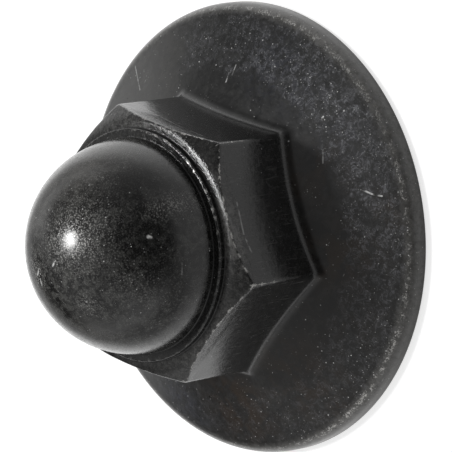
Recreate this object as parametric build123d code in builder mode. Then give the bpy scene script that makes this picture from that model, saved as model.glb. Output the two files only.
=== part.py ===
from build123d import *
from math import cos, radians, tan
import os

# Flanged cap nut, M10, forged and turned as one piece. The origin is in the middle of the
# bearing face, +Z runs along the thread towards the dome, and two corners of the hexagon
# lie on the X axis. Lengths are in millimetres and angles in degrees.

# Driving dimensions
thread_diameter = 10.0
tap_drill_diameter = 8.5
drill_point_angle = 118.0
countersink_width = 0.4
across_flats = 16.0
hexagon_height = 6.85
hexagon_edge_radius = 0.45
hexagon_foot_radius = 1.2
crown_width = 0.36
crown_angle = 48.0
crown_edge_chamfer = 0.12
flange_diameter = 29.5
flange_rim_height = 1.25
flange_angle = 25.0
flange_shoulder_radius = 1.4
bearing_edge_chamfer = 0.1
collar_land = 0.53
collar_width = 0.57
collar_height = 0.52
collar_edge_chamfer = 0.12
collar_foot_chamfer = 0.2
dome_skirt_height = 0.2
bore_end_share = 0.28

# Derived dimensions
bore_radius = tap_drill_diameter / 2
countersink_radius = thread_diameter / 2 + countersink_width
countersink_depth = countersink_radius - bore_radius
flange_radius = flange_diameter / 2
flat_radius = across_flats / 2
corner_radius = flat_radius / cos(radians(30))
flange_slope = tan(radians(flange_angle))
flange_apex = flange_rim_height + flange_radius * flange_slope
hexagon_foot = flange_apex - corner_radius * flange_slope
flat_foot = flange_apex - flat_radius * flange_slope
hexagon_top = hexagon_foot + hexagon_height
crown_radius = flat_radius + crown_width
crown_drop = (flange_radius - crown_radius) * tan(radians(crown_angle))
collar_radius = flat_radius - collar_land
dome_radius = collar_radius - collar_width
collar_top = hexagon_top + collar_height
dome_centre = collar_top + dome_skirt_height
dome_top = dome_centre + dome_radius
bore_end = dome_centre + dome_radius * bore_end_share
drill_point = bore_end + bore_radius / tan(radians(drill_point_angle / 2))

os.makedirs("parts", exist_ok=True)

# Hexagon with rounded corners, each corner turned off to a cone at the crown
with BuildPart() as hexagon:
    with BuildSketch():
        RegularPolygon(flat_radius, 6, major_radius=False)
    extrude(amount=hexagon_top)
    fillet(hexagon.edges().filter_by(Axis.Z), hexagon_edge_radius)
    with BuildSketch(Plane.XZ):
        with BuildLine():
            Polyline(
                (0, 0),
                (flange_radius, 0),
                (flange_radius, hexagon_top - crown_drop),
                (crown_radius, hexagon_top),
                (0, hexagon_top),
                close=True,
            )
        make_face()
    revolve(axis=Axis.Z, mode=Mode.INTERSECT)
    top_edges = hexagon.faces().sort_by(Axis.Z)[-1].edges()
    chamfer(top_edges, crown_edge_chamfer)

# Flange with a conical top and a rounded rim
with BuildPart() as cap_nut:
    with BuildSketch(Plane.XZ) as flange_profile:
        with BuildLine():
            Polyline(
                (0, 0),
                (flange_radius, 0),
                (flange_radius, flange_rim_height),
                (0, flange_apex),
                close=True,
            )
        make_face()
        rim_corners = flange_profile.vertices().group_by(Axis.X)[-1].sort_by(Axis.Y)
        fillet(rim_corners[-1], flange_shoulder_radius)
        rim_corners = flange_profile.vertices().group_by(Axis.Y)[0].sort_by(Axis.X)
        chamfer(rim_corners[-1], bearing_edge_chamfer)
    revolve(axis=Axis.Z)

    # The hexagon grows out of the flange through a fillet
    add(hexagon.part)
    foot_edges = [
        edge
        for edge in cap_nut.edges()
        if hexagon_foot - hexagon_foot_radius < edge.center().Z < flat_foot + hexagon_foot_radius
        and edge.geom_type != GeomType.LINE
    ]
    fillet(foot_edges, hexagon_foot_radius)

    # Collar and dome
    with BuildSketch(Plane.XZ) as dome_profile:
        with BuildLine():
            Polyline(
                (dome_radius, dome_centre),
                (dome_radius, collar_top),
                (collar_radius, collar_top),
                (collar_radius, flat_foot),
                (0, flat_foot),
                (0, dome_top),
            )
            RadiusArc((0, dome_top), (dome_radius, dome_centre), dome_radius)
        make_face()
        collar_corners = dome_profile.vertices().group_by(Axis.X)[-1].sort_by(Axis.Y)
        chamfer(collar_corners[-1], collar_edge_chamfer)
    revolve(axis=Axis.Z)
    collar_foot = cap_nut.edges().filter_by(GeomType.CIRCLE).filter_by_position(
        Axis.Z, hexagon_top - collar_edge_chamfer, hexagon_top + collar_edge_chamfer
    )
    chamfer(collar_foot.sort_by(SortBy.RADIUS)[0], collar_foot_chamfer)

    # Blind tapped hole from below, with a countersunk mouth and a drill point
    with BuildSketch(Plane.XZ):
        with BuildLine():
            Polyline(
                (0, 0),
                (countersink_radius, 0),
                (bore_radius, countersink_depth),
                (bore_radius, bore_end),
                (0, drill_point),
                close=True,
            )
        make_face()
    revolve(axis=Axis.Z, mode=Mode.SUBTRACT)

cap_nut.part.label = "cap_nut"
export_step(cap_nut.part, "parts/cap_nut.step")
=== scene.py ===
import math
import bpy
import numpy as np
from mathutils import Matrix, Vector, noise


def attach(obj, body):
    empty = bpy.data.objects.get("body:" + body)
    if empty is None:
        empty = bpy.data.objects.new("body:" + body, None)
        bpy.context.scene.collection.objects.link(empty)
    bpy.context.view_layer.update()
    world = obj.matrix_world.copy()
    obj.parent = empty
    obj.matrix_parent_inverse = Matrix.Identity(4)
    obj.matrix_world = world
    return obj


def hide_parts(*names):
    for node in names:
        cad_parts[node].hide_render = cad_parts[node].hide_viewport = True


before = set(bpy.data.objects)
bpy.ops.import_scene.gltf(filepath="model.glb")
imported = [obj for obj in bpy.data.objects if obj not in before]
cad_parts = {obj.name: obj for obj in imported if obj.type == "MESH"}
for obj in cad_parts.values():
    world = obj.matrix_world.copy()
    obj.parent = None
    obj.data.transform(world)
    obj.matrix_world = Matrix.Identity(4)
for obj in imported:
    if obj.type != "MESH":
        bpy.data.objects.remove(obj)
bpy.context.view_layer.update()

scene = bpy.context.scene
scene.view_settings.view_transform = "Standard"
MM = 0.001

# Sizes of the nut, in millimetres. They are the solid's, but the crown is rounded and its land
# lies 0.07 mm higher, the fillet at the hexagon's foot is 0.25 mm smaller, and small fillets
# stand in for small chamfers.
FLANGE_R = 14.75
RIM_H = 1.25
BEARING_EDGE_R = 0.1
SHOULDER_R = 1.4
FLANGE_SLOPE = math.tan(math.radians(25.0))
FLAT_R = 8.0
CORNER_R = FLAT_R / math.cos(math.radians(30.0))
HEX_HEIGHT = 6.92
HEX_TOP = RIM_H + (FLANGE_R - CORNER_R) * FLANGE_SLOPE + HEX_HEIGHT
HEX_EDGE_R = 0.45
HEX_FOOT_R = 0.95
CROWN_START_R = 7.6
CROWN_BEND_R = 1.2
CROWN_TILT = math.radians(40.0)
COLLAR_R = 7.47
COLLAR_HEIGHT = 0.45
COLLAR_TOP = HEX_TOP + COLLAR_HEIGHT
COLLAR_FOOT_R = 0.05
COLLAR_EDGE_R = 0.10
DOME_R = 6.9
DOME_SKIRT = 0.2
DOME_CENTRE = COLLAR_TOP + DOME_SKIRT
DOME_FOOT_R = 0.06
BORE_R = 4.25
SINK_R = 5.4
SINK_DEPTH = SINK_R - BORE_R
BORE_END = DOME_CENTRE + DOME_R * 0.28
DRILL_HALF_ANGLE = math.radians(59.0)
DRILL_POINT = BORE_END + BORE_R / math.tan(DRILL_HALF_ANGLE)

# Thread that the solid leaves out: shares of half a pitch that the crest and the flank take
THREAD_R = 5.0
PITCH = 1.5
RUN_OUT = 1.2
CREST_SHARE = 0.14
FLANK_SHARE = 0.60

# Radii at which the turned flange gives way to the hexagon's foot, and the crown to the collar
FOOT_R = 10.7
LAND_R = 7.8

# Wear of small edges: spread of the smoothing along a profile
EDGE_SOFTNESS = 0.06
CORNER_SOFTNESS = 0.06
COLLAR_SOFTNESS = 0.02

# Grid of the surface: columns in a sixth of a turn, their spacing at the middle of a flat and
# at a corner, the width of a corner in degrees, rows, and the step of a close polyline
SECTOR_COLUMNS = 60
FINE_ANGLES = 2401
FLAT_SPACING = 0.95
CORNER_SPACING = 0.20
CORNER_SPREAD = 2.6
FLANGE_ROWS = 46
HEX_ROWS = 70
CROWN_POINTS = 24
DOME_ROWS = 66
MOUTH_HEIGHTS = [0.2, 0.4, 0.6]
THREAD_ROWS = 72
THREAD_START = SINK_DEPTH - 0.35
DRILL_POINT_RINGS = [0.75, 0.45, 0.2]
STEP = 0.02


def cone_z(r):
    """Height of the flange's conical top at a radius."""
    return RIM_H + (FLANGE_R - r) * FLANGE_SLOPE


def hex_radius(phi):
    """Radius of the hexagon at an angle from its nearest corner, which is rounded."""
    half = math.radians(30.0)
    centre = (FLAT_R - HEX_EDGE_R) / math.cos(half)
    touch = math.atan2(HEX_EDGE_R * math.sin(half), centre + HEX_EDGE_R * math.cos(half))
    if abs(phi) < touch:
        return centre * math.cos(phi) + math.sqrt(HEX_EDGE_R ** 2 - (centre * math.sin(phi)) ** 2)
    return FLAT_R / math.cos(half - abs(phi))


def crown_z(r):
    """Height of the crown at a radius: rounded off, then conical."""
    out = max(0.0, r - CROWN_START_R)
    bend = min(out, CROWN_BEND_R * math.sin(CROWN_TILT))
    drop = CROWN_BEND_R - math.sqrt(CROWN_BEND_R ** 2 - bend ** 2)
    return HEX_TOP - drop - (out - bend) * math.tan(CROWN_TILT)


def dense(points):
    """Even, close points along a polyline."""
    out = []
    for a, b in zip(points[:-1], points[1:]):
        start = np.array(a, float)
        ahead = np.array(b, float) - start
        n = max(1, int(round(np.linalg.norm(ahead) / STEP)))
        out += [start + ahead * k / n for k in range(n)]
    return np.array(out + [np.array(points[-1], float)])


def arc(centre, first, turn):
    """Close points of an arc, from its centre, its first radius and the angle that it turns."""
    n = max(3, int(np.linalg.norm(first) * abs(turn) / STEP))
    out = []
    for k in range(n + 1):
        c = math.cos(turn * k / n)
        s = math.sin(turn * k / n)
        out.append(centre + np.array([c * first[0] - s * first[1], s * first[0] + c * first[1]]))
    return out


def rounded(points, radii):
    """A polyline with an arc at each inner corner, as close points."""
    points = [np.array(p, float) for p in points]
    out = [points[0]]
    for before, corner, after, radius in zip(points[:-2], points[1:-1], points[2:], radii):
        back = before - corner
        ahead = after - corner
        longest = 0.49 * min(np.linalg.norm(back), np.linalg.norm(ahead))
        back /= np.linalg.norm(back)
        ahead /= np.linalg.norm(ahead)
        half = 0.5 * math.acos(max(-1.0, min(1.0, float(back @ ahead))))
        reach = min(radius / math.tan(half), longest)
        if reach < STEP:
            out.append(corner)
            continue
        middle = (back + ahead) / np.linalg.norm(back + ahead)
        centre = corner + middle * reach / math.cos(half)
        first = corner + back * reach - centre
        last = corner + ahead * reach - centre
        turn = math.atan2(first[0] * last[1] - first[1] * last[0], first @ last)
        out += arc(centre, first, turn)
    return dense(out + [points[-1]])


def worn(points, spread):
    """A close polyline smoothed along its length, its ends kept."""
    n = int(4 * spread / STEP) + 1
    kernel = np.exp(-0.5 * (np.arange(-n, n + 1) * STEP / spread) ** 2)
    kernel /= kernel.sum()
    head = points[:1] + np.arange(-n, 0)[:, None] * (points[1] - points[0])
    tail = points[-1:] + np.arange(1, n + 1)[:, None] * (points[-1] - points[-2])
    extended = np.vstack([head, points, tail])
    return np.stack([np.convolve(extended[:, i], kernel, "valid") for i in range(2)], 1)


def rows(points, count, length, bend=9.0, window=9):
    """Rows spread along a curve by its length in millimetres and by its bend in degrees."""
    steps = np.diff(points, axis=0)
    heading = np.unwrap(np.arctan2(steps[:, 1], steps[:, 0]))
    turn = np.pad(np.abs(np.gradient(heading)), window // 2, mode="edge")
    turn = np.convolve(turn, np.ones(window) / window, "valid")
    weight = np.hypot(steps[:, 0], steps[:, 1]) / length + np.degrees(turn) / bend
    along = np.concatenate([[0.0], np.cumsum(weight)])
    at = np.linspace(0, along[-1], count)
    return np.stack([np.interp(at, along, points[:, i]) for i in range(2)], 1)


def columns():
    """Angles round the nut and from the nearest corner, closer together at the hexagon's corners."""
    fine = np.linspace(-30.0, 30.0, FINE_ANGLES)
    at_corner = np.exp(-0.5 * (fine / CORNER_SPREAD) ** 2)
    density = 1.0 / (FLAT_SPACING - (FLAT_SPACING - CORNER_SPACING) * at_corner)
    along = np.concatenate([[0.0], np.cumsum(0.5 * (density[1:] + density[:-1]))])
    sector = np.interp(np.linspace(0, along[-1], SECTOR_COLUMNS + 1)[:-1], along, fine)
    turned = np.concatenate([sector + 60.0 * k for k in range(6)])
    return np.radians(turned), np.radians(np.tile(sector, 6))


def flange_profile():
    """Rows from the countersink over the bearing face and the rim to the hexagon's foot."""
    line = [(SINK_R, 0.0), (FLANGE_R, 0.0), (FLANGE_R, RIM_H), (FOOT_R, cone_z(FOOT_R))]
    return rows(rounded(line, [BEARING_EDGE_R, SHOULDER_R]), FLANGE_ROWS, length=0.5)


def hexagon_profile(angle, corner_width=4.0):
    """Rows from the flange up over a flat and the crown, at one angle."""
    r = hex_radius(angle)
    corner = math.exp(-0.5 * (math.degrees(angle) / corner_width) ** 2)
    crown = [(q, crown_z(q)) for q in np.linspace(r, LAND_R, CROWN_POINTS)]
    points = [(FOOT_R, cone_z(FOOT_R)), (r, cone_z(r))] + crown
    profile = rounded(points, [HEX_FOOT_R] + [0.0] * (len(points) - 3))
    return rows(worn(profile, EDGE_SOFTNESS + CORNER_SOFTNESS * corner), HEX_ROWS, length=0.32)


def dome_profile():
    """Rows from the crown over the collar and up the dome."""
    rises = np.radians(np.arange(6.0, 90.5, 1.0))
    dome = [(DOME_R * math.cos(a), DOME_CENTRE + DOME_R * math.sin(a)) for a in rises]
    foot = [(q, crown_z(q)) for q in (LAND_R, COLLAR_R)]
    line = foot + [(COLLAR_R, COLLAR_TOP), (DOME_R, COLLAR_TOP)] + dome
    radii = [COLLAR_FOOT_R, COLLAR_EDGE_R, DOME_FOOT_R] + [0.0] * (len(dome) - 1)
    return rows(worn(rounded(line, radii), COLLAR_SOFTNESS), DOME_ROWS, length=0.34)


def circle(radius, height, phis):
    """Points of one ring of the surface."""
    heights = np.broadcast_to(height, phis.shape)
    return np.stack([radius * np.cos(phis), radius * np.sin(phis), heights], 1)


def outer_rings(phis, local):
    """Rings of the outside, from the countersink up to just under the dome's top."""
    flange = flange_profile()
    dome = dome_profile()
    angles = np.round(np.abs(local), 6)
    hexagons = {angle: hexagon_profile(angle) for angle in set(angles)}
    profile = np.array([np.vstack([flange, hexagons[angle][1:], dome[1:]]) for angle in angles])
    return [circle(profile[:, i, 0], profile[:, i, 1], phis) for i in range(profile.shape[1] - 1)]


def bore_rings(phis):
    """Rings of the tapped hole, from the countersunk mouth up to the drill point."""
    heights = np.concatenate([MOUTH_HEIGHTS, np.linspace(THREAD_START, BORE_END, THREAD_ROWS)])
    rings = []
    for z in heights:
        phase = (z / PITCH - phis / (2 * math.pi)) % 1.0
        groove = np.clip((np.abs(phase - 0.5) * 2.0 - CREST_SHARE) / FLANK_SHARE, 0.0, 1.0)
        fade = min(1.0, max(0.0, (BORE_END - RUN_OUT - z) / RUN_OUT))
        r = np.maximum(BORE_R + (THREAD_R - BORE_R) * groove * fade, SINK_R - z)
        rings.append(circle(r, z, phis))
    for share in DRILL_POINT_RINGS:
        rings.append(circle(BORE_R * share, BORE_END + (DRILL_POINT - BORE_END) * (1 - share), phis))
    return rings


def closed_faces(rings, columns_round, low_pole, high_pole):
    """Quads between neighbouring rings, and a fan of triangles to a pole at each end."""
    faces = []
    following = [(j + 1) % columns_round for j in range(columns_round)]
    for first in range(0, (rings - 1) * columns_round, columns_round):
        upper = first + columns_round
        for j, k in enumerate(following):
            faces.append((first + j, first + k, upper + k, upper + j))
    last = (rings - 1) * columns_round
    for j, k in enumerate(following):
        faces.append((k, j, low_pole))
        faces.append((last + j, last + k, high_pole))
    return faces


# Patches of the finish and of painted glints, seen from above, in millimetres: x, y, reach and strength
BROWN = [(-3.9, -9.6, 3.2, 0.8), (-7.6, -8.2, 3.6, 0.3), (-10.2, -3.4, 4.0, 0.9), (-11.2, 2.8, 3.6, 1.0),
         (1.6, -9.6, 2.6, 0.7), (-1.8, -13.6, 1.8, 0.6), (-12.8, -4.8, 2.0, 0.6)]
BLUE = [(9.2, -7.6, 3.0, 1.0), (7.2, -9.2, 2.6, 0.8), (3.6, -11.6, 3.0, 0.5), (-9.8, 8.3, 2.0, 1.0),
        (-8.8, 9.4, 1.6, 0.8), (-11.2, 7.8, 1.6, 0.8)]
# Painted glints: on the flange's top where the key light glints on it, and round the dome's highlight
FLANGE_PAINTED_GLINTS = [(5.7, -10.9, 1.9, 1.0), (7.6, -9.4, 1.8, 0.45), (2.5, -12.2, 2.4, 0.3), (9.4, -8.4, 2.6, 0.35),
            (-10.6, -7.4, 2.6, 0.35), (-11.6, 1.0, 2.4, 0.2), (10.9, -2.0, 3.0, 0.15)]
DOME_PAINTED_GLINTS = [(0.9, -1.8, 2.9, 0.8), (-0.4, 2.3, 1.3, 0.8), (-0.3, 0.0, 1.0, 0.4), (1.3, -6.2, 0.9, 0.6),
                 (-3.3, -1.0, 1.0, 0.5), (3.6, -2.6, 2.0, 0.2), (-3.0, -4.0, 2.4, 0.2)]
DOME_HAZE = [(5.4, -1.8, 2.8, 0.8), (5.9, 1.4, 2.8, 1.1), (4.4, 3.0, 2.8, 0.9), (-5.4, 0.8, 2.2, 0.5),
             (-3.2, 4.2, 2.8, 0.6)]
DOME_DUST = [(-2.0, 1.0, 4.2, 1.3), (-4.0, -2.6, 2.6, 0.5), (1.2, 1.6, 3.0, 0.7), (1.5, -2.5, 3.0, 0.4)]
DOME_BARE = [(3.4, -4.6, 1.9, 0.9), (0.3, -5.2, 1.8, 0.5), (-4.6, -0.3, 1.2, 0.9), (-3.0, -5.4, 1.6, 0.5)]

# Wear and other marks by the angle round the nut: its least strength, then angle, width and strength of
# soft bumps
CROWN_WEAR = 0.35, [(-58.0, 14.0, 0.5), (-95.0, 22.0, 0.6), (-120.0, 5.0, 0.5), (-150.0, 16.0, 0.3)]
CORNER_WEAR = 0.15, [(-60.0, 8.0, 0.7), (-120.0, 8.0, 0.5)]
# The collar's bump is mostly a painted glint, a bright line where the key light catches the collar's edge
COLLAR_WEAR_AND_GLINT = 0.12, [(-60.0, 17.0, 1.4)]
# A lighter grey on the land, by its angle round the nut
LAND_GREY_BY_ANGLE = 0.12, [(-97.0, 12.0, 0.85), (-150.0, 14.0, 0.35), (-15.0, 18.0, 0.35)]
RING_MARKS = 0.12, [(-130.0, 55.0, 0.22), (-60.0, 38.0, 0.70)]
# Painted reflection: a grey on the rim, by its angle round the nut
RIM_PAINTED_REFLECTION = 0.45, [(-28.0, 30.0, 0.80), (-165.0, 25.0, 0.35)]
CREST_WEAR = 0.30, [(-150.0, 16.0, 0.7), (-42.0, 20.0, 0.4), (-92.0, 5.0, 0.5), (-125.0, 10.0, 0.4)]

# Zones of the flange, in millimetres: radii between which the scratched ring, the rim and the grey
# band of painted reflection on the shoulder set in, radius and width of the rubbed crest and of the
# dark broken line inside it, and heights above which a point is on the top side and above the bearing face
RING_SETS_IN = 10.35, 11.0
RIM_SETS_IN = 13.95, 14.55
BAND_SETS_IN = 13.9, 14.7
CREST_R = 14.44
CREST_WIDTH = 0.08
DARK_LINE_R = 14.12
DARK_LINE_WIDTH = 0.12
TOP_SIDE_Z = 0.3
RIM_SIDE_Z = 0.02

# Painted reflection on the flange, a lighter grey: angles at which the plain part without a ring sets
# in and ends, and its strength there and on the shoulder. The borders of the plain part and of the ring
# wobble by so many degrees and millimetres, after one slice of a noise with so many waves to the
# millimetre.
PLAIN_SETS_IN = -1.0, 7.0
PLAIN_END = 110.0
PLAIN_PAINTED_REFLECTION = 0.22
SHOULDER_PAINTED_REFLECTION = 0.75
WOBBLE_DEGREES = 6.0
WOBBLE_MM = 0.5
WOBBLE_WAVES = 0.9
WOBBLE_SLICE = 3.0

# Zones of the rest, in millimetres: heights above the cone over which the flange ends, heights over
# which the dome and the crown set in, radii over which the land does, and heights over which wear of
# the crown fades downwards and wear of the corners sets in
FLANGE_ENDS = 0.05, 0.5
DOME_SETS_IN = COLLAR_TOP - 0.1, COLLAR_TOP + 0.3
CROWN_SETS_IN = HEX_TOP - 1.3, HEX_TOP - 0.7
LAND_SETS_IN = COLLAR_R - 0.02, COLLAR_R + 0.12
CROWN_FADES = HEX_TOP - 0.9, HEX_TOP - 2.0
CORNERS_SET_IN = 6.8, 8.4

# Dust on the dome: its least strength, and how much the patches add
LEAST_DUST = 0.75
PATCH_DUST = 0.50

# Distance at which an edge counts as far off, in millimetres, and the share of the distance that
# counts at the collar, whose line, mostly a painted glint, is wider
FAR = 2.0
COLLAR_SHARE = 0.6


def smoothstep(low, high, x):
    """A soft step from 0 to 1 between two values."""
    t = np.clip((x - low) / (high - low), 0, 1)
    return t * t * (3 - 2 * t)


def bell(x, centre, width):
    """A soft bump round a value."""
    return np.exp(-0.5 * ((x - centre) / width) ** 2)


def round_nut(azimuth, wear):
    """Strength of wear at each angle round the nut, in degrees."""
    total, bumps = wear
    for centre, width, strength in bumps:
        away = (azimuth - centre + 180.0) % 360.0 - 180.0
        total = total + strength * bell(away, 0.0, width)
    return total


def spots(x, y, places):
    """Strength of a list of soft round patches at each point."""
    total = np.zeros_like(x)
    for px, py, reach, strength in places:
        total = np.maximum(total, strength * np.exp(-2 * ((x - px) ** 2 + (y - py) ** 2) / reach ** 2))
    return total


def edge_gap(r, z, local):
    """Distance from the nearest worn edge, the crown's or a corner's, or from the collar's edge with its
    painted glint.
    """
    edge_r = np.array([hex_radius(angle) for angle in local])
    edge_z = np.array([crown_z(q) for q in edge_r])
    crown = np.hypot(r - edge_r, z - edge_z)
    on_corner = (r > edge_r - 0.2) & (z > cone_z(r) + 1.0)
    corner = np.where(on_corner, np.abs(r * np.sin(local)), FAR)
    collar = COLLAR_SHARE * np.hypot(r - COLLAR_R, z - COLLAR_TOP)
    return np.minimum(np.minimum(crown, corner), np.minimum(collar, FAR))


def edge_wear_and_glint(r, z, azimuth):
    """How far the finish is worn off an edge by its place; on the collar mostly a painted glint, where the
    key light catches the edge.
    """
    crown = np.minimum(round_nut(azimuth, CROWN_WEAR), 1.0)
    below = smoothstep(*CROWN_FADES, z)
    above_foot = smoothstep(*CORNERS_SET_IN, z)
    hexagon = crown * (1 - below) + round_nut(azimuth, CORNER_WEAR) * below * above_foot
    on_collar = r < COLLAR_R + 0.1
    return np.where(on_collar, round_nut(azimuth, COLLAR_WEAR_AND_GLINT), hexagon) * (z > RIM_H)


def flange_marks(x, y, z):
    """Marks on the flange by name, each with its strength at each point; the lighter grey on the plain part
    and the shoulder and the grey on the rim are painted reflection.
    """
    r = np.hypot(x, y)
    azimuth = np.degrees(np.arctan2(y, x))
    top = (z > TOP_SIDE_Z) * (r > FLAT_R)
    rim_side = z > RIM_SIDE_Z
    waves = [noise.noise((a * WOBBLE_WAVES, b * WOBBLE_WAVES, WOBBLE_SLICE)) for a, b in zip(x, y)]
    wobble = np.array(waves) * top
    rim = smoothstep(*RIM_SETS_IN, r) * rim_side
    outer = smoothstep(*RING_SETS_IN, r + WOBBLE_MM * wobble)
    plain = smoothstep(*PLAIN_SETS_IN, azimuth + WOBBLE_DEGREES * wobble) * (azimuth < PLAIN_END)
    ring = outer * round_nut(azimuth, RING_MARKS) * (1 - plain) * (1 - 0.5 * rim) * top
    return {
        "ring": ring,
        # Painted reflection: a lighter grey on the plain part and on the shoulder
        "dust_haze_and_painted_reflection": PLAIN_PAINTED_REFLECTION * plain * (1 - rim) * top + SHOULDER_PAINTED_REFLECTION * rim,
        # Painted reflection: grey on the rim
        "rim": round_nut(azimuth, RIM_PAINTED_REFLECTION) * smoothstep(*BAND_SETS_IN, r) * rim_side,
        "crest": round_nut(azimuth, CREST_WEAR) * bell(r, CREST_R, CREST_WIDTH) * top,
        # A dark broken line round the shoulder
        "dark_line": bell(r, DARK_LINE_R, DARK_LINE_WIDTH) * top,
    }


def finish_marks(points, local, outside):
    """Places and marks of the finish by name, each with its strength at each point, painted glints and
    painted reflection among them.
    """
    x, y, z = points.T
    r = np.hypot(x, y)
    azimuth = np.degrees(np.arctan2(y, x))
    flange = (1 - smoothstep(*FLANGE_ENDS, z - cone_z(r))) * (r > FLAT_R)
    dome = smoothstep(*DOME_SETS_IN, z) * outside
    crown = smoothstep(*CROWN_SETS_IN, z) * (1 - dome)
    land = smoothstep(*LAND_SETS_IN, r)
    dust = LEAST_DUST + PATCH_DUST * spots(x, y, DOME_DUST)
    flange_top = flange * (z > TOP_SIDE_Z)
    marks = flange_marks(x, y, z)
    # On the dome this lighter grey is a dust haze
    marks["dust_haze_and_painted_reflection"] += spots(x, y, DOME_HAZE) * dome
    marks["flange"] = flange
    marks["dome"] = dome
    marks["crown"] = crown
    marks["edge_gap"] = edge_gap(r, z, local)
    # Edge wear, and a painted glint along the collar's edge
    marks["wear"] = edge_wear_and_glint(r, z, azimuth)
    # A lighter grey on the land at some angles round the nut
    marks["land_grey"] = crown * np.minimum(1.0, round_nut(azimuth, LAND_GREY_BY_ANGLE)) * land
    marks["dust"] = dome * dust * (1 - spots(x, y, DOME_BARE))
    marks["brown"] = spots(x, y, BROWN) * flange_top
    marks["blue"] = spots(x, y, BLUE) * flange_top
    # Painted glints on the flange's top and round the dome's highlight
    marks["painted_glints"] = spots(x, y, FLANGE_PAINTED_GLINTS) * flange_top + spots(x, y, DOME_PAINTED_GLINTS) * dome
    return marks


def build_nut():
    """One closed surface: from the drill point down the hole, then from its mouth up over the outside."""
    phis, local = columns()
    inside = bore_rings(phis)[::-1]
    rings = np.array(inside + outer_rings(phis, local))
    poles = [[0, 0, DRILL_POINT], [0, 0, DOME_CENTRE + DOME_R]]
    points = np.concatenate([rings.reshape(-1, 3), poles])
    faces = closed_faces(len(rings), len(phis), len(points) - 2, len(points) - 1)
    mesh = bpy.data.meshes.new("nut_surface")
    mesh.from_pydata((points * MM).tolist(), [], faces)
    mesh.polygons.foreach_set("use_smooth", [True] * len(mesh.polygons))
    mesh.update()

    angles = np.append(np.tile(local, len(rings)), [0.0, 0.0])
    outside = np.arange(len(points)) >= len(inside) * len(phis)
    for name, values in finish_marks(points, angles, outside).items():
        attribute = mesh.attributes.new(name, "FLOAT", "POINT")
        attribute.data.foreach_set("value", np.asarray(values, np.float32))
    nut = bpy.data.objects.new("nut_surface", mesh)
    scene.collection.objects.link(nut)
    return nut


# Strokes of the fine scratches: how many times longer than wide, and their angles
STROKE_LENGTH = 7.0
STROKE_TURNS = [0.4, 1.3, 2.5]


class Shader:
    """Short forms for the nodes of one material."""

    def __init__(self, tree):
        self.tree = tree

    def node(self, kind, inputs=None, **settings):
        """A new node, with values set on its inputs or sockets linked to them."""
        node = self.tree.nodes.new("ShaderNode" + kind)
        for name, value in settings.items():
            setattr(node, name, value)
        for key, value in (inputs or {}).items():
            if isinstance(value, bpy.types.NodeSocket):
                self.tree.links.new(value, node.inputs[key])
            else:
                node.inputs[key].default_value = value
        return node

    def math(self, operation, a, b=0.0, clamp=False):
        return self.node("Math", {0: a, 1: b}, operation=operation, use_clamp=clamp).outputs[0]

    def add(self, *values):
        total = values[0]
        for value in values[1:]:
            total = self.math("ADD", total, value)
        return total

    def times(self, *values):
        total = values[0]
        for value in values[1:]:
            total = self.math("MULTIPLY", total, value)
        return total

    def vector(self, operation, a, b):
        return self.node("VectorMath", {0: a, 1: b}, operation=operation)

    def ramp(self, value, low, high, start=0.0, end=1.0):
        """A soft step from start to end while the value goes from low to high."""
        inputs = {"Value": value, "From Min": low, "From Max": high, "To Min": start, "To Max": end}
        return self.node("MapRange", inputs, interpolation_type="SMOOTHSTEP").outputs["Result"]

    def mix(self, factor, a, b):
        """A colour between two others."""
        node = self.node("Mix", {"Factor": factor}, data_type="RGBA")
        for socket, colour in ((node.inputs[6], a), (node.inputs[7], b)):
            if isinstance(colour, bpy.types.NodeSocket):
                self.tree.links.new(colour, socket)
            else:
                socket.default_value = (*colour, 1.0)
        return node.outputs[2]

    def blend(self, factor, a, b):
        """A number between two others."""
        return self.node("Mix", {"Factor": factor, 2: a, 3: b}, data_type="FLOAT").outputs[0]

    def noise(self, vector, scale, detail=2.0, rough=0.5, distortion=0.0):
        inputs = {"Vector": vector, "Scale": scale, "Detail": detail, "Roughness": rough}
        inputs["Distortion"] = distortion
        return self.node("TexNoise", inputs).outputs["Fac"]

    def attribute(self, name):
        return self.node("Attribute", attribute_name=name).outputs["Fac"]

    def specks(self, vector, scale, size, share):
        """Small soft dots of uneven brightness, in the share given of the cells of a Voronoi pattern."""
        cells = self.node("TexVoronoi", {"Vector": vector, "Scale": scale})
        chance = self.node("SeparateColor", {0: cells.outputs["Color"]})
        chosen = self.math("GREATER_THAN", share, chance.outputs[0])
        radius = self.ramp(chance.outputs[1], 0.0, 1.0, 0.4 * size, size)
        away = self.math("DIVIDE", cells.outputs["Distance"], radius)
        dot = self.ramp(away, 0.4, 1.0, 1.0, 0.0)
        brightness = self.ramp(chance.outputs[2], 0.0, 1.0, 0.1, 1.0)
        return self.times(chosen, dot, brightness)

    def dashes(self, vector, turn, scale, size, share):
        """Short fine strokes that run at one angle round the vertical."""
        turned = self.node("VectorRotate", {"Vector": vector, "Angle": turn}, rotation_type="Z_AXIS")
        stretched = self.vector("MULTIPLY", turned.outputs[0], (1.0, 1 / STROKE_LENGTH, 1.0)).outputs[0]
        return self.specks(stretched, scale, size, share)

    def filaments(self, vector, scale, width, distortion):
        """Thin curling lines, where a noise pattern crosses its middle value."""
        pattern = self.noise(vector, scale, distortion=distortion)
        away = self.math("ABSOLUTE", self.math("SUBTRACT", pattern, 0.5))
        return self.ramp(away, 0.0, width, 1.0, 0.0)

    def scratch(self, vector, start, end, width):
        """A straight scratch between two points, fading at its sides."""
        along = Vector(end) - Vector(start)
        from_start = self.vector("SUBTRACT", vector, start).outputs[0]
        share = self.vector("DOT_PRODUCT", from_start, along / along.length_squared).outputs["Value"]
        share = self.math("MINIMUM", self.math("MAXIMUM", share, 0.0), 1.0)
        ahead = self.node("VectorMath", {0: along, "Scale": share}, operation="SCALE").outputs[0]
        away = self.vector("DISTANCE", from_start, ahead).outputs["Value"]
        return self.ramp(away, 0.3 * width, width, 1.0, 0.0)


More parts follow.
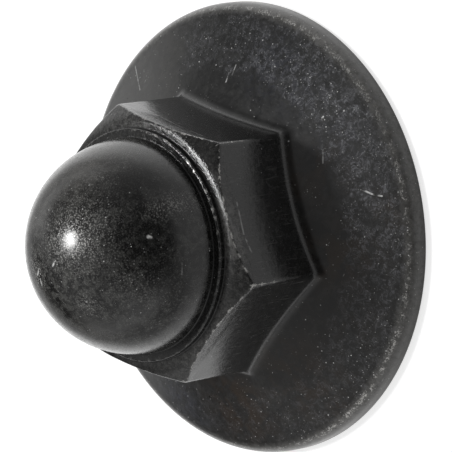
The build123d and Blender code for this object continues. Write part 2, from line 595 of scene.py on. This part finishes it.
# Scratches and pale spots seen in the finish, in millimetres: start, end, half width and strength
SCRATCHES = [
    ((12.63, 5.90, 1.62), (10.77, 5.03, 2.58), 0.07, 0.35),
    ((9.13, -3.74, 3.52), (9.65, -3.94, 3.26), 0.07, 0.5),
    ((9.45, -4.20, 3.30), (10.02, -4.47, 3.00), 0.06, 0.4),
    ((-0.20, -12.15, 2.45), (-0.60, -12.61, 2.23), 0.08, 0.8),
    ((-0.60, -12.61, 2.23), (-0.89, -13.16, 1.97), 0.08, 0.8),
    ((2.94, -10.27, 3.15), (2.14, -10.13, 3.29), 0.07, 0.4),
    ((-2.27, -6.12, 13.61), (-2.98, -5.83, 13.57), 0.05, 0.3),
    ((-0.26, -5.60, 15.40), (-0.36, -5.68, 15.30), 0.16, 0.9),
    ((-0.15, 0.05, 18.29), (-0.45, 0.40, 18.27), 0.10, 0.9),
    ((-0.30, 1.95, 18.00), (-0.60, 2.40, 17.86), 0.11, 0.9),
    ((-0.90, 2.20, 17.87), (-1.35, 2.35, 17.74), 0.09, 0.7),
    ((8.72, -0.90, 8.86), (6.51, -4.72, 9.58), 0.06, 0.35),
    ((6.51, -4.72, 9.58), (5.04, -7.27, 9.72), 0.06, 0.25),
    ((0.70, -8.0, 9.52), (-1.36, -8.0, 9.59), 0.09, 0.30),
    ((-1.36, -8.0, 9.59), (-2.56, -8.0, 9.28), 0.09, 0.30),
]

# Colours of the worn finish, of its painted glints and of the painted reflection on the flange
BLACK = (0.0065, 0.0065, 0.0064)
DUST = (0.075, 0.075, 0.071)
# Lighter grey: dust on the dome, painted reflection on the flange's plain part and shoulder
DUST_AND_REFLECTION_GREY = (0.078, 0.075, 0.069)
# Grey of the painted reflection on the rim
RIM_REFLECTION_GREY = (0.145, 0.142, 0.135)
VEIL = (0.125, 0.126, 0.136)
BROWN_STAIN = (0.0220, 0.0132, 0.0070)
BLUE_STAIN = (0.0090, 0.0102, 0.0180)
# Grey of the brushed lines on the flats and of the lighter land
LINE_AND_LAND_GREY = (0.110, 0.108, 0.104)
# Near black of the dark broken line round the shoulder
DARK_LINE_BLACK = (0.0040, 0.0034, 0.0030)
# White of specks, strokes and scratches, and of the painted glints
SPECK = (0.80, 0.80, 0.79)
# Light steel grey of bare metal, also the colour of the painted glints on the collar's edge and round the
# dome's highlight
RUBBED_AND_GLINT_GREY = (0.55, 0.54, 0.52)

# Gloss of the finish: refraction, metal where it is rubbed or a glint is painted, and roughness
FINISH_IOR = 1.47
RUBBED_AND_GLINT_METAL = 0.4
FLAT_ROUGH = 0.13
FLANGE_ROUGH = 0.32
DOME_ROUGH = 0.17
DOME_FLECK_ROUGH = 0.36
RUBBED_AND_GLINT_ROUGH = 0.36

# Fine relief of the finish
RELIEF_STRENGTH = 0.45
RELIEF_DEPTH = 0.02 * MM

# Brushed lines on the flats: waves to the millimetre across them and along the thread's axis
BRUSH_WAVES = (7.0, 7.0, 0.6)


class Finish:
    """Places and patterns that the colour, roughness and relief of the finish share."""

    def __init__(self, s):
        metres = s.node("TexCoord").outputs["Object"]
        place = s.vector("MULTIPLY", metres, (1 / MM, 1 / MM, 1 / MM)).outputs[0]
        self.place = place
        self.flange = s.attribute("flange")
        self.dome = s.attribute("dome")
        self.crown = s.attribute("crown")
        self.ring = s.attribute("ring")
        self.crest = s.attribute("crest")
        self.painted_glints = s.attribute("painted_glints")
        self.hexagon = s.math("SUBTRACT", 1.0, s.add(self.flange, self.dome), clamp=True)
        self.clouds = s.noise(place, scale=0.8, detail=4.0, rough=0.6, distortion=0.5)
        self.mottle = s.noise(place, scale=2.6, detail=8.0, rough=0.72, distortion=0.4)
        self.grain = s.noise(place, scale=9.0, detail=4.0, rough=0.68)
        self.breaks = s.noise(place, scale=2.4, detail=3.0, rough=0.6)
        self.flecks = s.ramp(self.grain, 0.50, 0.62)
        self.patches = s.ramp(s.noise(place, scale=1.9, detail=4.0, rough=0.62, distortion=0.6), 0.40, 0.63)
        crowded = s.ramp(s.noise(place, scale=1.9, distortion=0.5), 0.42, 0.54)
        self.worms = s.times(s.filaments(place, scale=2.0, width=0.065, distortion=1.4), crowded)
        blotches = s.ramp(self.mottle, 0.44, 0.60)
        self.dirt = s.add(s.times(blotches, 0.5), s.times(self.flecks, 0.5))


def dusty(s, finish):
    """Colour of the black finish with its dust: a film on the dome, dirt on the rest."""
    film = s.add(
        s.times(finish.patches, 0.45),
        s.times(finish.patches, finish.flecks, 0.32),
        s.times(finish.worms, 0.30),
        s.times(finish.flecks, 0.14),
    )
    colour = s.mix(s.times(s.attribute("dust"), film), BLACK, DUST)
    flats = s.times(finish.hexagon, s.math("SUBTRACT", 1.0, finish.crown))
    hexagon_dirt = s.times(s.add(s.times(flats, 2.8), finish.hexagon), finish.dirt, 0.08)
    colour = s.mix(hexagon_dirt, colour, DUST)
    smears = s.noise(finish.place, scale=1.1, detail=7.0, rough=0.70, distortion=0.9)
    smears = s.ramp(smears, 0.47, 0.60)
    flange_dirt = s.add(s.times(smears, 0.15), s.times(finish.dirt, 0.02))
    return s.mix(s.times(finish.flange, flange_dirt), colour, DUST)


def stained(s, finish, colour):
    """The colour with stains, a lighter grey that is dust on the dome and painted reflection on the
    flange's plain part and shoulder, a painted reflection on the rim, the scratched ring's veil and a dark
    broken line near the rim.
    """
    brown = s.times(s.attribute("brown"), s.ramp(finish.clouds, 0.40, 0.56, 0.15, 1.0))
    colour = s.mix(brown, colour, BROWN_STAIN)
    blue = s.times(s.attribute("blue"), s.ramp(finish.patches, 0.0, 1.0, 0.2, 1.0))
    colour = s.mix(blue, colour, BLUE_STAIN)
    uneven = s.add(s.ramp(finish.mottle, 0.25, 0.75, 0.25, 1.1), s.times(finish.patches, 0.35))
    # Lighter grey: dust on the dome, painted reflection on the flange's plain part and shoulder
    colour = s.mix(s.times(s.attribute("dust_haze_and_painted_reflection"), uneven), colour, DUST_AND_REFLECTION_GREY)
    # Painted reflection: grey on the rim
    colour = s.mix(s.times(s.attribute("rim"), uneven), colour, RIM_REFLECTION_GREY)
    veil = s.add(s.times(finish.patches, 0.16), s.times(finish.worms, 0.75), s.times(finish.flecks, 0.20))
    veil = s.times(finish.ring, veil, s.ramp(finish.clouds, 0.36, 0.60, 0.55, 1.25))
    colour = s.mix(veil, colour, VEIL)
    # A dark broken line round the shoulder
    dark_line = s.times(s.attribute("dark_line"), s.ramp(finish.breaks, 0.42, 0.56))
    return s.mix(dark_line, colour, DARK_LINE_BLACK)


def brushed_and_greyed(s, finish, colour):
    """The colour with brushed lines on the flats and a lighter grey on the land and crown at some angles
    round the nut.
    """
    lines = s.vector("MULTIPLY", finish.place, BRUSH_WAVES).outputs[0]
    lines = s.ramp(s.noise(lines, scale=1.0, detail=3.0, rough=0.6), 0.56, 0.74)
    # A lighter grey on the land at some angles
    land_grey_amount = s.times(s.attribute("land_grey"), s.add(finish.dirt, 0.12), 1.8)
    return s.mix(s.times(finish.hexagon, s.add(s.times(lines, 0.45), land_grey_amount)), colour, LINE_AND_LAND_GREY)


def specked(s, finish, colour):
    """The colour with fine strokes and pale specks, crowded in the ring and thinly scattered elsewhere, and
    with painted glints as white specks on the flange's top and round the dome's highlight.
    """
    place = finish.place
    openness = s.add(finish.flange, s.times(finish.dome, 0.7), 0.3)
    scattered = s.times(s.ramp(finish.clouds, 0.42, 0.66, 0.15, 1.8), openness)
    strokes = s.add(s.times(finish.ring, 0.30), s.times(scattered, 0.05))
    for turn in STROKE_TURNS:
        dashes = s.dashes(place, turn, scale=6.0, size=0.22, share=strokes)
        colour = s.mix(s.times(dashes, 0.22), colour, SPECK)
    tiny_share = s.add(s.times(finish.ring, 0.25), s.times(scattered, 0.07))
    tiny = s.times(s.specks(place, scale=8.0, size=0.42, share=tiny_share), 0.4)
    few = s.times(scattered, 0.012)
    # Small and large specks: painted glints on the flange and round the dome's highlight, flecks on the
    # rim's crest and a few scattered specks
    small_share = s.add(s.times(finish.painted_glints, 0.60), s.times(finish.crest, 0.35), few)
    small = s.specks(place, scale=6.5, size=0.36, share=small_share)
    large_share = s.add(s.times(finish.painted_glints, 0.12), few)
    large = s.specks(place, scale=2.2, size=0.19, share=large_share)
    return s.mix(s.math("MAXIMUM", tiny, s.math("MAXIMUM", small, large)), colour, SPECK)


def scratched(s, finish, colour):
    """The colour with the single scratches, broken up along their length."""
    broken = s.ramp(finish.breaks, 0.36, 0.60)
    for start, end, width, strength in SCRATCHES:
        scratch = s.scratch(finish.place, start, end, width)
        colour = s.mix(s.times(scratch, broken, strength), colour, SPECK)
    return colour


def rubbed_and_glint_share(s, finish):
    """How far the finish is worn to metal along edges and on the rim's crest, with painted glints along the
    collar's edge and as grey flecks round the dome's highlight.
    """
    reach = s.noise(finish.place, scale=2.6, detail=4.0, rough=0.65)
    reach = s.ramp(reach, 0.44, 0.70, 0.01, 0.15)
    # Edges worn to metal, and the painted glint along the collar's edge
    edges = s.ramp(s.math("DIVIDE", s.attribute("edge_gap"), reach), 0.5, 1.0, 1.0, 0.0)
    edges = s.times(edges, s.attribute("wear"), s.ramp(finish.grain, 0.40, 0.58, 0.3, 1.2))
    crest = s.times(finish.crest, s.ramp(finish.breaks, 0.44, 0.58), s.ramp(finish.grain, 0.46, 0.58), 1.4)
    # Painted glints: grey metallic flecks round the dome's highlight
    glints = s.times(finish.painted_glints, finish.dome, finish.flecks, 0.75)
    return s.add(edges, crest, glints)


def roughness(s, finish, rubbed_and_glint):
    """Roughness of flats, flange, dome and of places worn to metal or painted with glints, slightly uneven.
    """
    rough = s.blend(finish.flange, FLAT_ROUGH, FLANGE_ROUGH)
    rough = s.blend(finish.dome, rough, s.blend(finish.flecks, DOME_ROUGH, DOME_FLECK_ROUGH))
    rough = s.add(rough, s.ramp(finish.mottle, 0.3, 0.8, -0.05, 0.10))
    return s.blend(rubbed_and_glint, rough, RUBBED_AND_GLINT_ROUGH)


def relief(s, finish):
    """Fine unevenness of the finish, strongest on the crown."""
    height = s.add(
        s.times(finish.grain, 0.35),
        s.times(finish.mottle, 0.6),
        s.times(finish.breaks, finish.crown, 2.0),
        s.times(finish.grain, finish.crown, 1.2),
        s.times(finish.breaks, finish.hexagon, 0.9),
    )
    inputs = {"Strength": RELIEF_STRENGTH, "Distance": RELIEF_DEPTH, "Height": height}
    return s.node("Bump", inputs).outputs[0]


def black_steel():
    """Worn black finish on steel, with painted glints and painted reflection in its colour."""
    material = bpy.data.materials.new("black_steel_worn_with_painted_light")
    material.use_nodes = True
    tree = material.node_tree
    surface = tree.nodes["Principled BSDF"].inputs
    surface["IOR"].default_value = FINISH_IOR
    s = Shader(tree)
    finish = Finish(s)
    colour = stained(s, finish, dusty(s, finish))
    colour = specked(s, finish, brushed_and_greyed(s, finish, colour))
    colour = scratched(s, finish, colour)
    # Bare metal and painted glints
    rubbed_and_glint = rubbed_and_glint_share(s, finish)
    tree.links.new(s.mix(rubbed_and_glint, colour, RUBBED_AND_GLINT_GREY), surface["Base Color"])
    tree.links.new(s.times(rubbed_and_glint, RUBBED_AND_GLINT_METAL), surface["Metallic"])
    tree.links.new(roughness(s, finish, rubbed_and_glint), surface["Roughness"])
    tree.links.new(relief(s, finish), surface["Normal"])
    return material


# Camera, fitted to the photograph: picture's width in pixels, tilt of the nut's axis from the line
# of sight, its direction in the picture, scale in pixels for the flange's radius, offset of the
# flange's middle in pixels, distance in flange radii, and the camera's angle round the nut
PICTURE_PX = 452.0
TILT = math.radians(44.51)
ROLL = math.radians(188.774)
SCALE_PX = 225.88
OFFSET_PX = (31.93, 0.66)
DISTANCE = 20.0
AZIMUTH = math.radians(-96.97)
SENSOR = 36.0


def aim(azimuth, rise):
    """A direction, by its angle round the nut and its rise."""
    return Vector((math.cos(azimuth) * math.cos(rise), math.sin(azimuth) * math.cos(rise), math.sin(rise)))


def add_camera():
    """The camera, turned so that the nut's axis lies in the picture as in the photograph."""
    toward = aim(AZIMUTH, 0.0)
    up = Vector((0, 0, 1))
    side = toward.cross(up)
    axis_seen = Vector((math.sin(TILT) * math.cos(ROLL), math.sin(TILT) * math.sin(ROLL), math.cos(TILT)))
    side_seen = Vector((-math.sin(ROLL), math.cos(ROLL), 0))
    toward_seen = axis_seen.cross(side_seen)
    axes = [side * side_seen[i] + toward * toward_seen[i] + up * axis_seen[i] for i in range(3)]
    data = bpy.data.cameras.new("camera")
    data.sensor_width = SENSOR
    data.lens = SCALE_PX * DISTANCE / PICTURE_PX * SENSOR
    data.shift_x = -OFFSET_PX[0] / PICTURE_PX
    data.shift_y = OFFSET_PX[1] / PICTURE_PX
    data.clip_start = 0.01
    camera = bpy.data.objects.new("camera", data)
    scene.collection.objects.link(camera)
    turn = Matrix(axes).transposed().to_4x4()
    camera.matrix_world = Matrix.Translation(axes[2] * DISTANCE * FLANGE_R * MM) @ turn
    scene.camera = camera


# White floor, in metres: half its side, its height just under the bearing face, its grey, and the
# glow that makes it white to the camera
FLOOR_HALF = 1.5
FLOOR_Z = -0.02 * MM
FLOOR_GREY = (0.5, 0.5, 0.5, 1.0)
FLOOR_GLOW = 0.7

# Glow of the floor in reflections, which fades towards the camera, away from it and to both sides:
# distances in metres between which it changes, and the glow at both
GLOW_FRONT = 0.002, 0.022, 1.0, 0.3
GLOW_BACK = -0.060, -0.028, 0.1, 1.0
GLOW_RIGHT = 0.030, 0.080, 1.0, 0.4
GLOW_LEFT = -0.048, -0.020, 0.1, 1.0


def white_floor():
    """Pale floor that keeps the nut's shadow and glows for the camera and in reflections."""
    material = bpy.data.materials.new("white_floor")
    material.use_nodes = True
    tree = material.node_tree
    tree.nodes.clear()
    s = Shader(tree)
    path = s.node("LightPath")
    place = s.node("TexCoord").outputs["Object"]
    ahead = s.vector("DOT_PRODUCT", place, aim(AZIMUTH, 0.0)).outputs["Value"]
    aside = s.vector("DOT_PRODUCT", place, aim(AZIMUTH + 0.5 * math.pi, 0.0)).outputs["Value"]
    along = s.times(s.ramp(ahead, *GLOW_FRONT), s.ramp(ahead, *GLOW_BACK))
    across = s.times(s.ramp(aside, *GLOW_RIGHT), s.ramp(aside, *GLOW_LEFT))
    reflected = s.times(path.outputs["Is Glossy Ray"], along, across)
    seen = s.times(path.outputs["Is Camera Ray"], FLOOR_GLOW)
    grey = s.node("BsdfDiffuse", {"Color": FLOOR_GREY})
    glow = s.node("Emission", {"Strength": s.add(seen, reflected)})
    both = s.node("AddShader", {0: grey.outputs[0], 1: glow.outputs[0]})
    s.node("OutputMaterial", {"Surface": both.outputs[0]})
    return material


def add_floor():
    """A square floor under the nut."""
    corners = [(-1, -1), (1, -1), (1, 1), (-1, 1)]
    mesh = bpy.data.meshes.new("floor")
    mesh.from_pydata([(FLOOR_HALF * x, FLOOR_HALF * y, FLOOR_Z) for x, y in corners], [], [(0, 1, 2, 3)])
    mesh.materials.append(white_floor())
    floor = bpy.data.objects.new("floor", mesh)
    scene.collection.objects.link(floor)


# Darker parts of the room: angle round from the camera, rise, cosines of the angles from their
# middle at which they end and are full, and depth
SHADES = [
    (0.0, 33.0, 0.25, 0.97, 0.95),
    (75.0, 25.0, 0.80, 0.96, 0.60),
    (127.0, 42.0, 0.80, 0.93, 0.75),
    (180.0, 46.0, 0.90, 0.985, 0.45),
    (197.0, 5.0, 0.79, 0.97, 0.95),
    (237.0, 45.0, 0.707, 0.94, 0.45),
]


def add_room():
    """A white room with darker parts."""
    world = bpy.data.worlds.new("room")
    scene.world = world
    world.use_nodes = True
    tree = world.node_tree
    s = Shader(tree)
    background = tree.nodes["Background"].inputs
    background["Color"].default_value = (1, 1, 1, 1)
    direction = s.node("TexCoord").outputs["Generated"]
    strength = 1.0
    for turn, rise, end, full, depth in SHADES:
        middle = aim(AZIMUTH + math.radians(turn), math.radians(rise))
        near = s.vector("DOT_PRODUCT", direction, middle).outputs["Value"]
        strength = s.times(s.ramp(near, end, full, 1.0, 1.0 - depth), strength)
    tree.links.new(strength, background["Strength"])


# Key lamp behind the nut: angle round from the camera, rise, distance and size in metres, and watts
KEY_TURN = math.radians(150.0)
KEY_RISE = math.radians(63.0)
KEY_DISTANCE = 0.6
KEY_SIZE = 0.12
KEY_WATTS = 2.0


def add_key_lamp():
    """A small round lamp, which makes the highlight on the dome."""
    data = bpy.data.lights.new("key", "AREA")
    data.shape = "DISK"
    data.size = KEY_SIZE
    data.energy = KEY_WATTS
    lamp = bpy.data.objects.new("key", data)
    scene.collection.objects.link(lamp)
    direction = aim(AZIMUTH + KEY_TURN, KEY_RISE)
    lamp.location = direction * KEY_DISTANCE
    lamp.rotation_euler = direction.to_track_quat("Z", "Y").to_euler()


nut = build_nut()
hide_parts("cap_nut")
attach(nut, "root")
nut.data.materials.append(black_steel())
add_camera()
add_floor()
add_room()
add_key_lamp()
